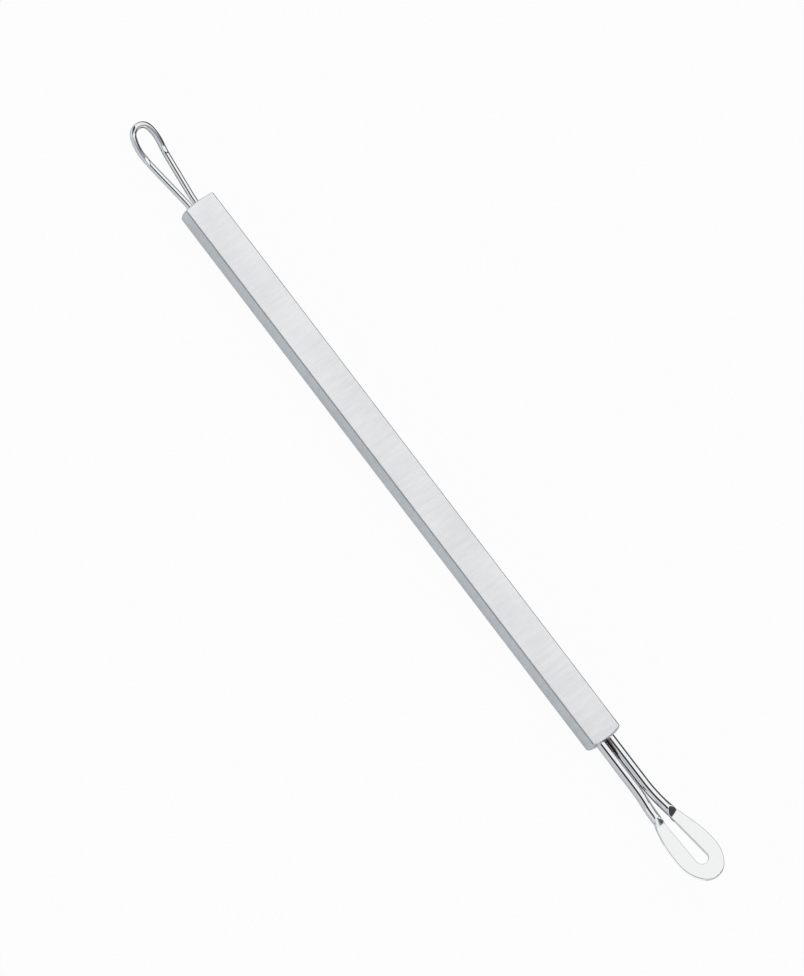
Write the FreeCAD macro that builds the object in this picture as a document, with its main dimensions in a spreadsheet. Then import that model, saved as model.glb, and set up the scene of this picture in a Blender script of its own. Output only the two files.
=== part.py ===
import FreeCAD
import Part

import math
import os
import Sketcher

# Comedone extractor: a square bar handle with a fine round-wire loop soldered into one end and a
# thicker wire loop, pressed flat into a broad ring, soldered into the other.
# +X points from the fine loop to the pressed loop, +Z is up, and the origin is the middle of the
# handle's underside. Millimetres and degrees.

Vector = FreeCAD.Vector
X_DIR = Vector(1, 0, 0)
Y_DIR = Vector(0, 1, 0)
Z_DIR = Vector(0, 0, 1)

os.makedirs("parts", exist_ok=True)
doc = FreeCAD.newDocument("comedone_extractor")

# Driving sizes
SIZES = {
    # handle
    "handle_length": 89.5,         # over the two crowned ends
    "bar_width": 4.5,              # across flats
    "fine_crown_radius": 14.0,     # dome turned on the end of the fine loop
    "flat_crown_radius": 8.5,      # dome turned on the end of the pressed loop
    "edge_radius": 0.16,           # rounded long edges of the bar
    "bore_clearance": 0.1,         # between the bore and the pair of wires, filled with solder
    "solder_recess": 0.4,          # from the top of the crown down to the face of the solder
    "bore_bottom_gap": 0.3,        # from the ends of the wires to the bottom of the bore
    # fine loop
    "fine_wire": 0.9,              # diameter
    "fine_tail_gap": 0.1,          # between the two tails
    "fine_tail_length": 8.0,       # set in the handle
    "fine_seat_offset": 0.38,      # bore axis, off the middle of the bar towards -Y
    "fine_spread_radius": 14.0,
    "fine_spread_angle": 6.65,     # each leg, away from the tool's axis
    "fine_leg_run": 6.02,          # straight part of a leg
    "fine_bend_radius": 5.0,
    "fine_bend_angle": 22.0,       # the head is bent up
    "fine_side_radius": 8.6,
    "fine_shoulder_radius": 6.2,
    "fine_shoulder_angle": 18.0,
    # pressed loop
    "flat_wire": 1.4,              # diameter
    "flat_tail_gap": 0.06,         # between the two legs
    "flat_tail_length": 10.0,      # set in the handle
    "flat_straight_run": 7.53,     # legs side by side, from the solder outwards
    "flat_spread_radius": 24.0,
    "flat_spread_angle": 6.2,
    "flat_neck_run": 0.05,         # between the spread and the bend
    "flat_bend_radius": 6.0,
    "flat_bend_angle": 17.4,       # the head is bent up
    "flat_head_run": 0.25,         # round wire between the bend and the ramp
    "ramp_length": 1.25,           # round wire runs down to the pressed face
    "ring_thickness": 0.6,
    "ring_drop": 0.35,             # the wire is pressed down from above, so the ring lies under its axis
    "ring_edge_break": 0.1,        # chamfer round the faces of the ring
    "ring_root_lap": 0.3,          # the ring starts this far back inside the ramps
    "ring_root_width": 1.3,        # of one leg of the ring at that place
    "ring_side_radius": 18.69,
    "ring_side_angle": 20.2,
    "ring_shoulder_radius": 5.3,
    "ring_shoulder_angle": 36.6,
    "ring_tip_width": 2.41,        # from the slot's end to the tip of the ring
    "slot_end_radius": 0.86,
}

sheet = doc.addObject("Spreadsheet::Sheet", "sizes")
for row, (alias, value) in enumerate(SIZES.items(), start=1):
    sheet.set(f"A{row}", alias)
    sheet.set(f"B{row}", str(value))
    sheet.setAlias(f"B{row}", alias)
doc.recompute()


def size(alias):
    return float(sheet.get(alias))


def radians(alias):
    return math.radians(size(alias))


# Sizes that follow from the driving ones, as expressions for the sheet's users
FINE_BORE = "(sizes.fine_wire + sizes.fine_tail_gap / 2 + sizes.bore_clearance)"
FLAT_BORE = "(sizes.flat_wire + sizes.flat_tail_gap / 2 + sizes.bore_clearance)"
FINE_DEPTH = "(sizes.solder_recess + sizes.fine_tail_length + sizes.bore_bottom_gap)"
FLAT_DEPTH = "(sizes.solder_recess + sizes.flat_tail_length + sizes.bore_bottom_gap)"
HALF_LENGTH = "sizes.handle_length / 2"

# Construction values
CUT_MARGIN = 1.0      # a cut reaches this far past the end of the handle
CROWN_REACH = 0.75    # radius of the crown's cut over the bar's width, past the bar's corners
RAMP_SINK = 0.03      # the end of a ramp lies this far under the faces of the ring


def bore_radius(kind):
    return size(kind + "_wire") + size(kind + "_tail_gap") / 2 + size("bore_clearance")


def bore_depth(kind):
    return size("solder_recess") + size(kind + "_tail_length") + size("bore_bottom_gap")


# Sketch helpers


def new_sketch(body, name, plane_role):
    plane = next(f for f in body.Origin.OriginFeatures if f.Role == plane_role)
    sketch = body.newObject("Sketcher::SketchObject", name)
    sketch.AttachmentSupport = [(plane, "")]
    sketch.MapMode = "FlatFace"
    return sketch


def bind(sketch, constraint, name, expression):
    index = sketch.addConstraint(constraint)
    sketch.renameConstraint(index, name)
    sketch.setExpression("Constraints." + name, expression)


def place_point(sketch, geometry, end, point, name, x_expression, y_expression):
    """Ties one end of a piece of geometry to its distances from the sketch's origin."""
    if x_expression:
        bind(sketch, Sketcher.Constraint("DistanceX", -1, 1, geometry, end, point[0]),
             name + "_x", x_expression)
    if y_expression:
        bind(sketch, Sketcher.Constraint("DistanceY", -1, 1, geometry, end, point[1]),
             name + "_y", y_expression)
    else:
        sketch.addConstraint(Sketcher.Constraint("PointOnObject", geometry, end, -1))


def add_lines(sketch, points, closed):
    """Lines through the points, joined end to end. Returns their indices."""
    pairs = list(zip(points, points[1:] + points[:1] if closed else points[1:]))
    indices = []
    for start, end in pairs:
        line = Part.LineSegment(Vector(*start, 0), Vector(*end, 0))
        indices.append(sketch.addGeometry(line, False))
    for first, second in zip(indices, indices[1:]):
        sketch.addConstraint(Sketcher.Constraint("Coincident", first, 2, second, 1))
    if closed:
        sketch.addConstraint(Sketcher.Constraint("Coincident", indices[-1], 2, indices[0], 1))
    return indices


def cuts_material(feature, before):
    """A cut that points away from the solid removes nothing, which is an error here."""
    doc.recompute()
    if feature.Shape.Volume > before - 1e-3:
        raise RuntimeError(feature.Name + " removes no material")


# Handle


def square_bar(body):
    half = size("bar_width") / 2
    sketch = new_sketch(body, "bar_section", "YZ_Plane")
    lines = add_lines(sketch, [(-half, -half), (half, -half), (half, half), (-half, half)], True)
    for line, kind in zip(lines, ("Horizontal", "Vertical", "Horizontal", "Vertical")):
        sketch.addConstraint(Sketcher.Constraint(kind, line))
    sketch.addConstraint(Sketcher.Constraint("Symmetric", lines[0], 1, lines[2], 1, -1, 1))
    bind(sketch, Sketcher.Constraint("DistanceX", lines[0], 1, lines[0], 2, 2 * half),
         "width", "sizes.bar_width")
    bind(sketch, Sketcher.Constraint("DistanceY", lines[1], 1, lines[1], 2, 2 * half),
         "height", "sizes.bar_width")
    pad = body.newObject("PartDesign::Pad", "bar")
    pad.Profile = sketch
    pad.SideType = "Symmetric"
    pad.setExpression("Length", "sizes.handle_length")
    return pad


def long_edges(body, bar):
    """Rounds the four long edges of the bar."""
    edges = []
    for index, edge in enumerate(bar.Shape.Edges, start=1):
        if edge.BoundBox.XLength > 1e-6:
            edges.append(f"Edge{index}")
    fillet = body.newObject("PartDesign::Fillet", "edges")
    fillet.Base = (bar, edges)
    fillet.setExpression("Radius", "sizes.edge_radius")
    cuts_material(fillet, bar.Shape.Volume)
    return fillet


def crown(body, name, side, alias, before):
    """Turns a shallow dome on one end."""
    half_length = size("handle_length") / 2
    reach = CROWN_REACH * size("bar_width")
    radius = size(alias)
    centre = half_length - radius
    rim = math.asin(reach / radius)
    sign = "" if side > 0 else "-"
    sketch = new_sketch(body, name + "_section", "XZ_Plane")
    circle = Part.Circle(Vector(side * centre, 0, 0), Z_DIR, radius)
    first, last = (0, rim) if side > 0 else (math.pi - rim, math.pi)
    arc = sketch.addGeometry(Part.ArcOfCircle(circle, first, last), False)
    apex_end, rim_end = (1, 2) if side > 0 else (2, 1)
    edge = side * (centre + radius * math.cos(rim))
    outer = side * (half_length + CUT_MARGIN)
    apex = side * half_length
    lines = add_lines(sketch, [(edge, reach), (outer, reach), (outer, 0), (apex, 0)], False)
    sketch.addConstraint(Sketcher.Constraint("Coincident", arc, rim_end, lines[0], 1))
    sketch.addConstraint(Sketcher.Constraint("Coincident", arc, apex_end, lines[2], 2))
    sketch.addConstraint(Sketcher.Constraint("PointOnObject", arc, 3, -1))
    sketch.addConstraint(Sketcher.Constraint("Horizontal", lines[0]))
    sketch.addConstraint(Sketcher.Constraint("Vertical", lines[1]))
    bind(sketch, Sketcher.Constraint("Radius", arc, radius), "radius", "sizes." + alias)
    place_point(sketch, lines[2], 2, (apex, 0), "apex", f"{sign}({HALF_LENGTH})", None)
    place_point(sketch, lines[1], 1, (outer, reach), "corner",
                f"{sign}({HALF_LENGTH} + {CUT_MARGIN})", f"sizes.bar_width * {CROWN_REACH}")
    groove = body.newObject("PartDesign::Groove", name)
    groove.Profile = sketch
    groove.ReferenceAxis = (sketch, ["H_Axis"])
    groove.Angle = 360
    cuts_material(groove, before)
    return groove


def bore(body, name, side, kind, radius_expression, depth_expression, offset_expression, before):
    """A blind bore for one pair of wires, on the seat's own axis."""
    mouth = side * (size("handle_length") / 2 + CUT_MARGIN)
    bottom = side * (size("handle_length") / 2 - bore_depth(kind))
    radius = bore_radius(kind)
    sign = "" if side > 0 else "-"
    sketch = new_sketch(body, name + "_section", "XY_Plane")
    sketch.setExpression("AttachmentOffset.Base.y", offset_expression)
    lines = add_lines(sketch, [(mouth, 0), (mouth, radius), (bottom, radius), (bottom, 0)], True)
    sketch.addConstraint(Sketcher.Constraint("Vertical", lines[0]))
    sketch.addConstraint(Sketcher.Constraint("Horizontal", lines[1]))
    sketch.addConstraint(Sketcher.Constraint("Vertical", lines[2]))
    place_point(sketch, lines[0], 1, (mouth, 0), "mouth", f"{sign}({HALF_LENGTH} + {CUT_MARGIN})", None)
    place_point(sketch, lines[2], 2, (bottom, 0), "bottom",
                f"{sign}({HALF_LENGTH} - {depth_expression})", None)
    bind(sketch, Sketcher.Constraint("DistanceY", -1, 1, lines[1], 2, radius),
         "radius", radius_expression)
    groove = body.newObject("PartDesign::Groove", name)
    groove.Profile = sketch
    groove.ReferenceAxis = (sketch, ["H_Axis"])
    groove.Angle = 360
    cuts_material(groove, before)
    return groove


def make_handle():
    body = doc.addObject("PartDesign::Body", "handle")
    body.Label = "handle"
    body.setExpression("Placement.Base.z", "sizes.bar_width / 2")
    bar = square_bar(body)
    doc.recompute()
    edges = long_edges(body, bar)
    fine_crown = crown(body, "fine_crown", -1, "fine_crown_radius", edges.Shape.Volume)
    flat_crown = crown(body, "flat_crown", 1, "flat_crown_radius", fine_crown.Shape.Volume)
    fine_bore = bore(body, "fine_bore", -1, "fine", FINE_BORE, FINE_DEPTH,
                     "-sizes.fine_seat_offset", flat_crown.Shape.Volume)
    bore(body, "flat_bore", 1, "flat", FLAT_BORE, FLAT_DEPTH, "0", fine_bore.Shape.Volume)
    return body


# Wire paths, in a loop's own frame: +X points out of the handle from the top of the crown,
# and the Y = 0 plane lies between the two legs.


class Path:
    """A wire's centre line, built as straight runs and tangent arcs."""

    def __init__(self, point, heading):
        self.point = point
        self.heading = heading
        self.edges = []

    def run(self, length):
        end = self.point + self.heading * length
        self.edges.append(Part.LineSegment(self.point, end).toShape())
        self.point = end

    def turn(self, towards, radius, angle):
        """Turns by angle (radians) with the centre on the side that towards points to."""
        centre = self.point + towards * radius

        def at(swept):
            return centre - towards * (radius * math.cos(swept)) + self.heading * (radius * math.sin(swept))

        start, middle, end = self.point, at(angle / 2), at(angle)
        self.edges.append(Part.Arc(start, middle, end).toShape())
        self.heading = self.heading * math.cos(angle) + towards * math.sin(angle)
        self.point = end

    def pitch_up(self, radius, angle):
        """Bends the wire up out of its plane, and returns where its straight runs would meet."""
        lifted = FreeCAD.Rotation(Y_DIR, -math.degrees(angle)).multVec(self.heading)
        swept = self.heading.getAngle(lifted)
        towards = (lifted - self.heading * self.heading.dot(lifted)).normalize()
        corner = self.point + self.heading * (radius * math.tan(swept / 2))
        self.turn(towards, radius, swept)
        return corner


def path_object(name, edges):
    feature = doc.addObject("Part::Feature", name)
    feature.Shape = Part.Wire(edges)
    return feature


def swept_wire(name, path, start, diameter_expression):
    """Round wire along a path that starts at the point start, heading along +X."""
    section = doc.addObject("Part::Circle", name + "_section")
    section.setExpression("Radius", diameter_expression + " / 2")
    section.Placement = FreeCAD.Placement(start, FreeCAD.Rotation(Y_DIR, 90))
    sweep = doc.addObject("Part::Sweep", name)
    sweep.Sections = [section]
    sweep.Spine = (path, [f"Edge{i}" for i in range(1, len(path.Shape.Edges) + 1)])
    sweep.Solid = True
    return sweep


def place_loop(loop, side, offset_expression):
    """Puts a loop made in its own frame at its end of the handle."""
    loop.Placement = FreeCAD.Placement(Vector(0, 0, 0), FreeCAD.Rotation(Z_DIR, 0 if side > 0 else 180))
    loop.setExpression("Placement.Base.x", HALF_LENGTH if side > 0 else "-" + HALF_LENGTH)
    loop.setExpression("Placement.Base.y", offset_expression)
    loop.setExpression("Placement.Base.z", "sizes.bar_width / 2")


# Fine loop


def fine_half_path():
    """One leg, from the end of its tail to the tip of the loop."""
    spread = radians("fine_spread_angle")
    shoulder = radians("fine_shoulder_angle")
    bend = radians("fine_bend_angle")
    half_pitch = (size("fine_wire") + size("fine_tail_gap")) / 2
    start = Vector(-size("solder_recess") - size("fine_tail_length"), half_pitch, 0)
    path = Path(start, X_DIR)
    path.run(size("fine_tail_length"))
    path.turn(Y_DIR, size("fine_spread_radius"), spread)
    path.run(size("fine_leg_run"))
    path.pitch_up(size("fine_bend_radius"), bend)
    ahead = Vector(math.cos(bend), 0, math.sin(bend))
    path.turn(ahead * math.sin(spread) - Y_DIR * math.cos(spread), size("fine_side_radius"), spread)
    path.turn(-Y_DIR, size("fine_shoulder_radius"), shoulder)
    tip_radius = path.point.y / math.cos(shoulder)
    inwards = (ahead * math.sin(shoulder) + Y_DIR * math.cos(shoulder)) * -1
    path.turn(inwards, tip_radius, math.pi / 2 - shoulder)
    return start, path.edges


def make_fine_loop():
    start, half = fine_half_path()
    other_half = [edge.mirror(Vector(0, 0, 0), Y_DIR) for edge in reversed(half)]
    path = path_object("fine_loop_path", Part.__sortEdges__(half + other_half))
    loop = swept_wire("fine_loop", path, start, "sizes.fine_wire")
    loop.Label = "fine_loop"
    place_loop(loop, -1, "-sizes.fine_seat_offset")
    return loop


# Pressed loop


def flat_leg_path():
    """One leg up to the ramp. Returns its start, its edges, the bend's corner and the path's end."""
    half_pitch = (size("flat_wire") + size("flat_tail_gap")) / 2
    start = Vector(-size("solder_recess") - size("flat_tail_length"), half_pitch, 0)
    path = Path(start, X_DIR)
    path.run(size("flat_tail_length") + size("flat_straight_run"))
    path.turn(Y_DIR, size("flat_spread_radius"), radians("flat_spread_angle"))
    path.run(size("flat_neck_run"))
    corner = path.pitch_up(size("flat_bend_radius"), radians("flat_bend_angle"))
    path.run(size("flat_head_run"))
    return start, corner, path


def direction(angle):
    return Vector(math.cos(math.radians(angle)), math.sin(math.radians(angle)), 0)


def round_stretches(radius):
    """A circle in eight stretches that match those of a pressed section."""
    marks = (20, 40, 140, 160, 200, 220, 320, 340, 380)
    return [[direction(angle) * radius for angle in (first, (first + second) / 2, second)]
            for first, second in zip(marks, marks[1:])]


def pressed_stretches(half_width, half_height, corner_radius):
    """A rounded rectangle: each corner, then the side that follows it."""
    corners = []
    for quarter, (x, y) in enumerate(((1, 1), (-1, 1), (-1, -1), (1, -1))):
        centre = Vector(x * (half_width - corner_radius), y * (half_height - corner_radius), 0)
        corners.append([centre + direction(90 * quarter + turned) * corner_radius for turned in (0, 45, 90)])
    stretches = []
    for corner, following in zip(corners, corners[1:] + corners[:1]):
        stretches.append(corner)
        stretches.append([corner[2], (corner[2] + following[0]) * 0.5, following[0]])
    return stretches


def section_object(name, stretches, placement):
    edges = []
    for start, middle, end in stretches:
        straight = (middle - start).cross(end - middle).Length < 1e-9
        edge = Part.LineSegment(start, end) if straight else Part.Arc(start, middle, end)
        edges.append(edge.toShape())
    feature = doc.addObject("Part::Feature", name)
    feature.Shape = Part.Wire(edges)
    feature.Placement = placement
    return feature


def make_ramp(path):
    """The stretch where the top of the round wire is pressed down to the ring."""
    bend = radians("flat_bend_angle")
    half_wire = size("flat_wire") / 2
    half_plate = size("ring_thickness") / 2
    up = Vector(-math.sin(bend), 0, math.cos(bend))
    turned = FreeCAD.Rotation(up.cross(path.heading), up, path.heading, "ZXY")
    drop = size("ring_drop")
    fall = half_wire + drop - half_plate
    length = size("ramp_length") * (fall + RAMP_SINK) / fall
    end = path.point + path.heading * length - up * drop
    pressed = pressed_stretches(size("ring_root_width") / 2, half_plate - RAMP_SINK, size("ring_edge_break"))
    ramp = doc.addObject("Part::Loft", "ramp")
    ramp.Sections = [
        section_object("ramp_start", round_stretches(half_wire), FreeCAD.Placement(path.point, turned)),
        section_object("ramp_end", pressed, FreeCAD.Placement(end, turned)),
    ]
    ramp.Solid = True
    ramp.Ruled = True
    return ramp


def make_ring(corner, path):
    """The pressed ring, drawn in the plane of the bent head with its origin at the bend."""
    tilt = radians("flat_bend_angle")
    spread = radians("flat_spread_angle")
    side = radians("ring_side_angle")
    shoulder = radians("ring_shoulder_angle")
    side_radius = size("ring_side_radius")
    shoulder_radius = size("ring_shoulder_radius")
    slot_radius = size("slot_end_radius")
    ahead = Vector(math.cos(tilt), 0, math.sin(tilt))
    up = Vector(-math.sin(tilt), 0, math.cos(tilt))

    ramp_start = (path.point - Vector(corner.x, 0, 0)).dot(ahead)
    root = ramp_start + (size("ramp_length") * math.cos(spread) - size("ring_root_lap"))
    leg = path.point.y + (root - ramp_start) * math.tan(spread)
    outer = leg + size("ring_root_width") / 2
    inner = leg - size("ring_root_width") / 2
    widest = root + side_radius * math.sin(side)
    half_width = outer + side_radius * (1 - math.cos(side))
    side_centre = (widest, half_width - side_radius)
    shoulder_centre = (widest, half_width - shoulder_radius)
    shoulder_end = half_width - shoulder_radius * (1 - math.cos(shoulder))
    tip_radius = shoulder_end / math.cos(shoulder)
    tip_centre = widest + shoulder_radius * math.sin(shoulder) - tip_radius * math.sin(shoulder)
    slot_centre = tip_centre + tip_radius - size("ring_tip_width") - slot_radius
    reach = math.hypot(slot_centre - root, inner)
    slot_side = math.asin(slot_radius / reach) - math.atan2(inner, slot_centre - root)
    touch = (slot_centre - slot_radius * math.sin(slot_side), slot_radius * math.cos(slot_side))

    body = doc.addObject("PartDesign::Body", "ring")
    sketch = new_sketch(body, "ring_outline", "XY_Plane")
    quarter = math.pi / 2

    def arc(centre, radius, first, second):
        circle = Part.Circle(Vector(*centre, 0), Z_DIR, radius)
        return sketch.addGeometry(Part.ArcOfCircle(circle, first, second), False)

    side_top = arc(side_centre, side_radius, quarter, quarter + side)
    shoulder_top = arc(shoulder_centre, shoulder_radius, quarter - shoulder, quarter)
    tip = arc((tip_centre, 0), tip_radius, shoulder - quarter, quarter - shoulder)
    shoulder_low = arc((widest, -shoulder_centre[1]), shoulder_radius, -quarter, shoulder - quarter)
    side_low = arc((widest, -side_centre[1]), side_radius, -quarter - side, -quarter)
    low_lines = add_lines(sketch, [(root, -outer), (root, -inner), (touch[0], -touch[1])], False)
    slot_end = arc((slot_centre, 0), slot_radius, -quarter - slot_side, quarter + slot_side)
    top_lines = add_lines(sketch, [touch, (root, inner), (root, outer)], False)

    for first, first_end, second, second_end in (
            (side_top, 1, shoulder_top, 2), (shoulder_top, 1, tip, 2), (tip, 1, shoulder_low, 2),
            (shoulder_low, 1, side_low, 2), (low_lines[1], 2, slot_end, 1), (slot_end, 2, top_lines[0], 1)):
        sketch.addConstraint(Sketcher.Constraint("Tangent", first, first_end, second, second_end))
    sketch.addConstraint(Sketcher.Constraint("Coincident", side_low, 1, low_lines[0], 1))
    sketch.addConstraint(Sketcher.Constraint("Coincident", top_lines[1], 2, side_top, 2))
    for index, name, expression, value in (
            (side_top, "side_radius", "sizes.ring_side_radius", side_radius),
            (shoulder_top, "shoulder_radius", "sizes.ring_shoulder_radius", shoulder_radius),
            (slot_end, "slot_radius", "sizes.slot_end_radius", slot_radius)):
        bind(sketch, Sketcher.Constraint("Radius", index, value), name, expression)
    bind(sketch, Sketcher.Constraint("DistanceY", top_lines[1], 1, top_lines[1], 2, outer - inner),
         "root_width", "sizes.ring_root_width")
    for centre in (tip, slot_end):
        sketch.addConstraint(Sketcher.Constraint("PointOnObject", centre, 3, -1))

    pad = body.newObject("PartDesign::Pad", "ring_plate")
    pad.Profile = sketch
    pad.SideType = "Symmetric"
    pad.setExpression("Length", "sizes.ring_thickness")
    doc.recompute()
    rims = []
    for index, edge in enumerate(pad.Shape.Edges, start=1):
        along_root = abs(edge.BoundBox.XMax - root) < 1e-6
        if edge.BoundBox.ZLength < 1e-6 and not along_root:
            rims.append(f"Edge{index}")
    chamfer = body.newObject("PartDesign::Chamfer", "ring_edges")
    chamfer.Base = (pad, rims)
    chamfer.setExpression("Size", "sizes.ring_edge_break")
    cuts_material(chamfer, pad.Shape.Volume)
    origin = Vector(corner.x, 0, 0) - up * size("ring_drop")
    body.Placement = FreeCAD.Placement(origin, FreeCAD.Rotation(Y_DIR, -math.degrees(tilt)))
    return body


def mirrored_copy(source):
    mirror = doc.addObject("Part::Mirroring", source.Name + "_mirrored")
    mirror.Source = source
    mirror.Normal = Y_DIR
    return mirror


def make_flat_loop():
    start, corner, path = flat_leg_path()
    leg = swept_wire("flat_leg", path_object("flat_leg_path", path.edges), start, "sizes.flat_wire")
    ramp = make_ramp(path)
    ring = make_ring(corner, path)
    loop = doc.addObject("Part::MultiFuse", "flat_loop")
    loop.Label = "flat_loop"
    loop.Shapes = [ring, leg, ramp, mirrored_copy(leg), mirrored_copy(ramp)]
    loop.Refine = True
    place_loop(loop, 1, "0")
    return loop


# Solder


def make_solder(name, side, loop, radius_expression, kind, offset_expression):
    """Fills the bore round one pair of tails, a little short of the mouth."""
    fill = doc.addObject("Part::Cylinder", name + "_fill")
    fill.setExpression("Radius", radius_expression)
    fill.setExpression("Height", f"sizes.{kind}_tail_length + sizes.bore_bottom_gap")
    fill.Placement = FreeCAD.Placement(Vector(0, 0, 0), FreeCAD.Rotation(Y_DIR, -90 * side))
    sign = "" if side > 0 else "-"
    fill.setExpression("Placement.Base.x", f"{sign}({HALF_LENGTH} - sizes.solder_recess)")
    fill.setExpression("Placement.Base.y", offset_expression)
    fill.setExpression("Placement.Base.z", "sizes.bar_width / 2")
    solder = doc.addObject("Part::Cut", name)
    solder.Label = name
    solder.Base = fill
    solder.Tool = loop
    return solder


handle = make_handle()
fine_loop = make_fine_loop()
flat_loop = make_flat_loop()
fine_solder = make_solder("fine_loop_solder", -1, fine_loop, FINE_BORE, "fine", "-sizes.fine_seat_offset")
flat_solder = make_solder("flat_loop_solder", 1, flat_loop, FLAT_BORE, "flat", "0")
doc.recompute()

sub_parts = [handle, fine_loop, flat_loop, fine_solder, flat_solder]

for item in doc.Objects:
    if {"Invalid", "Error"} & set(item.State):
        raise RuntimeError(f"{item.Name} failed: {item.State}")
for item in sub_parts:
    if item.Shape.isNull() or not item.Shape.isValid() or len(item.Shape.Solids) != 1:
        raise RuntimeError(f"{item.Label} is not one valid solid")
for item in sub_parts:
    item.Shape.exportStep(f"parts/{item.Label}.step")
    print(item.Label, round(item.Shape.Volume, 4), item.Shape.BoundBox)
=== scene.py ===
import math

import bmesh
import bpy
from mathutils import Matrix, Vector


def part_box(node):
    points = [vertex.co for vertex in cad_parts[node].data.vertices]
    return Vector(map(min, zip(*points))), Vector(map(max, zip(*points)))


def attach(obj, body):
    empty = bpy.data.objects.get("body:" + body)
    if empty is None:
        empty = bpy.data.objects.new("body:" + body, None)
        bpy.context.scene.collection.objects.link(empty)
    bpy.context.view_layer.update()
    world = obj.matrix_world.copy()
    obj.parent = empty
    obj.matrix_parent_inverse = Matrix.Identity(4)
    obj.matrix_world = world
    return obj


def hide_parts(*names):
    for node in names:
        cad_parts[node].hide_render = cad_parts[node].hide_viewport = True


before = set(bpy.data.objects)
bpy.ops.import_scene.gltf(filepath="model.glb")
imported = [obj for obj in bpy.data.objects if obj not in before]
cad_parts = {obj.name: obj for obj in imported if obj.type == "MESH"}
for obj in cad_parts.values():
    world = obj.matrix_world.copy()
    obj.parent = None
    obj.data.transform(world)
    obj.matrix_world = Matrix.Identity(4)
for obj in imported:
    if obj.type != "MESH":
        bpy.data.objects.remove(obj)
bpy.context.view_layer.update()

# Comedone extractor: a satin square bar with a fine polished wire loop soldered into one end and a
# thicker wire loop, pressed flat into a ring, soldered into the other. Metres, in the frame's axes.

MM = 0.001
X_DIR = Vector((1, 0, 0))
Y_DIR = Vector((0, 1, 0))
Z_DIR = Vector((0, 0, 1))

# Places and sizes read from the frame
handle_low, handle_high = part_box("handle")
fine_low, fine_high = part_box("fine_loop")
flat_low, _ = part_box("flat_loop")
BAR = handle_high.z - handle_low.z
AXIS_Z = (handle_low.z + handle_high.z) / 2
FINE_RADIUS = AXIS_Z - fine_low.z
FLAT_RADIUS = AXIS_Z - flat_low.z
FINE_OFFSET = (fine_low.y + fine_high.y) / 2

# Handle
HALF_LENGTH = 44.75 * MM
FINE_CROWN_RADIUS = 14.0 * MM
FLAT_CROWN_RADIUS = 8.5 * MM
EDGE_RADIUS = 0.16 * MM
RIM_RADIUS = 0.16 * MM
BORE_CLEARANCE = 0.1 * MM
BORE_BOTTOM_GAP = 0.3 * MM
SOLDER_RECESS = 0.4 * MM
MOUTH_BREAK = 0.04 * MM

# Fine loop, one leg from its tail to the tip
FINE_TAIL_GAP = 0.1 * MM
FINE_TAIL_LENGTH = 8.0 * MM
FINE_SPREAD_RADIUS = 14.0 * MM
FINE_SPREAD = math.radians(6.65)
FINE_LEG_RUN = 6.02 * MM
FINE_BEND_RADIUS = 5.0 * MM
FINE_BEND = math.radians(22.0)
FINE_SIDE_RADIUS = 8.6 * MM
FINE_SHOULDER_RADIUS = 6.2 * MM
FINE_SHOULDER = math.radians(18.0)

# Pressed loop, one leg from its tail to the tip of the ring
FLAT_TAIL_GAP = 0.06 * MM
FLAT_TAIL_LENGTH = 10.0 * MM
FLAT_STRAIGHT_RUN = 7.53 * MM
FLAT_SPREAD_RADIUS = 24.0 * MM
FLAT_SPREAD = math.radians(6.2)
FLAT_NECK_RUN = 0.05 * MM
FLAT_BEND_RADIUS = 6.0 * MM
FLAT_BEND = math.radians(17.4)
FLAT_HEAD_RUN = 0.25 * MM
RAMP_LENGTH = 1.25 * MM
RAMP_SHOULDER_RADIUS = 0.35 * MM
RAMP_FOOT_RADIUS = 0.14 * MM
PRESS_EDGE_RADIUS = 4.5 * MM     # the press's edge is an arc across both legs, so the ramps follow it
PRESS_EDGE_MIDDLE = -0.3 * MM    # the arc's furthest point, off the tool's middle plane
PRESS_EDGE_SIDE = 1.7 * MM       # how far from there the arc passes the ramp's nominal end
PRESS_EDGE_REACH = 1.0 * MM
RING_THICKNESS = 0.6 * MM
RING_DROP = 0.35 * MM            # of the ring's middle plane under the wire's axis
RING_EDGE_RADIUS = 0.12 * MM
RING_ROOT_LAP = 0.3 * MM
RING_ROOT_WIDTH = 1.3 * MM
RING_SIDE_RADIUS = 18.69 * MM
RING_SIDE = math.radians(20.2)
RING_SHOULDER_RADIUS = 5.3 * MM
RING_SHOULDER = math.radians(36.6)
RING_TIP_WIDTH = 2.41 * MM
SLOT_RADIUS = 0.86 * MM

# Fineness of the meshes
ARC_STEP = math.radians(1.5)
SMOOTH_LIMIT = math.radians(50)
CORNER_STEPS = 10
CORNER_SUPPORT = 0.02 * MM       # from each corner of the bar to the first line on its flat face
FLAT_LINES = (0.8, 0.5, 0.2)     # the other lines on that face, as shares of its half width
RIM_STEPS = 6
DOME_STEPS = 14
HANDLE_STEPS = 18
WIRE_POINTS = 72
RAMP_ARC_STEPS = 12
RAMP_STRAIGHT_STEPS = 8
RING_SIDE_STEPS = 44
RING_TIP_STEPS = 36
SIDE_STEPS = 26                  # points over one side of the wire's section, which becomes the ring's rim
TOP_STEPS = 34                   # points over its top or bottom, which becomes a pressed face


# Mesh helpers


def make_piece(name, points, faces, material, replaced):
    """A closed mesh that rides on the tool's body and stands for one node of the frame."""
    mesh = bpy.data.meshes.new(name)
    mesh.from_pydata([tuple(p) for p in points], [], faces)
    work = bmesh.new()
    work.from_mesh(mesh)
    bmesh.ops.recalc_face_normals(work, faces=work.faces)
    work.to_mesh(mesh)
    work.free()
    mesh.polygons.foreach_set("use_smooth", [True] * len(mesh.polygons))
    mesh.set_sharp_from_angle(angle=SMOOTH_LIMIT)
    mesh.materials.append(material)
    piece = bpy.data.objects.new(name, mesh)
    bpy.context.scene.collection.objects.link(piece)
    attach(piece, "root")
    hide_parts(replaced)
    return piece


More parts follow.
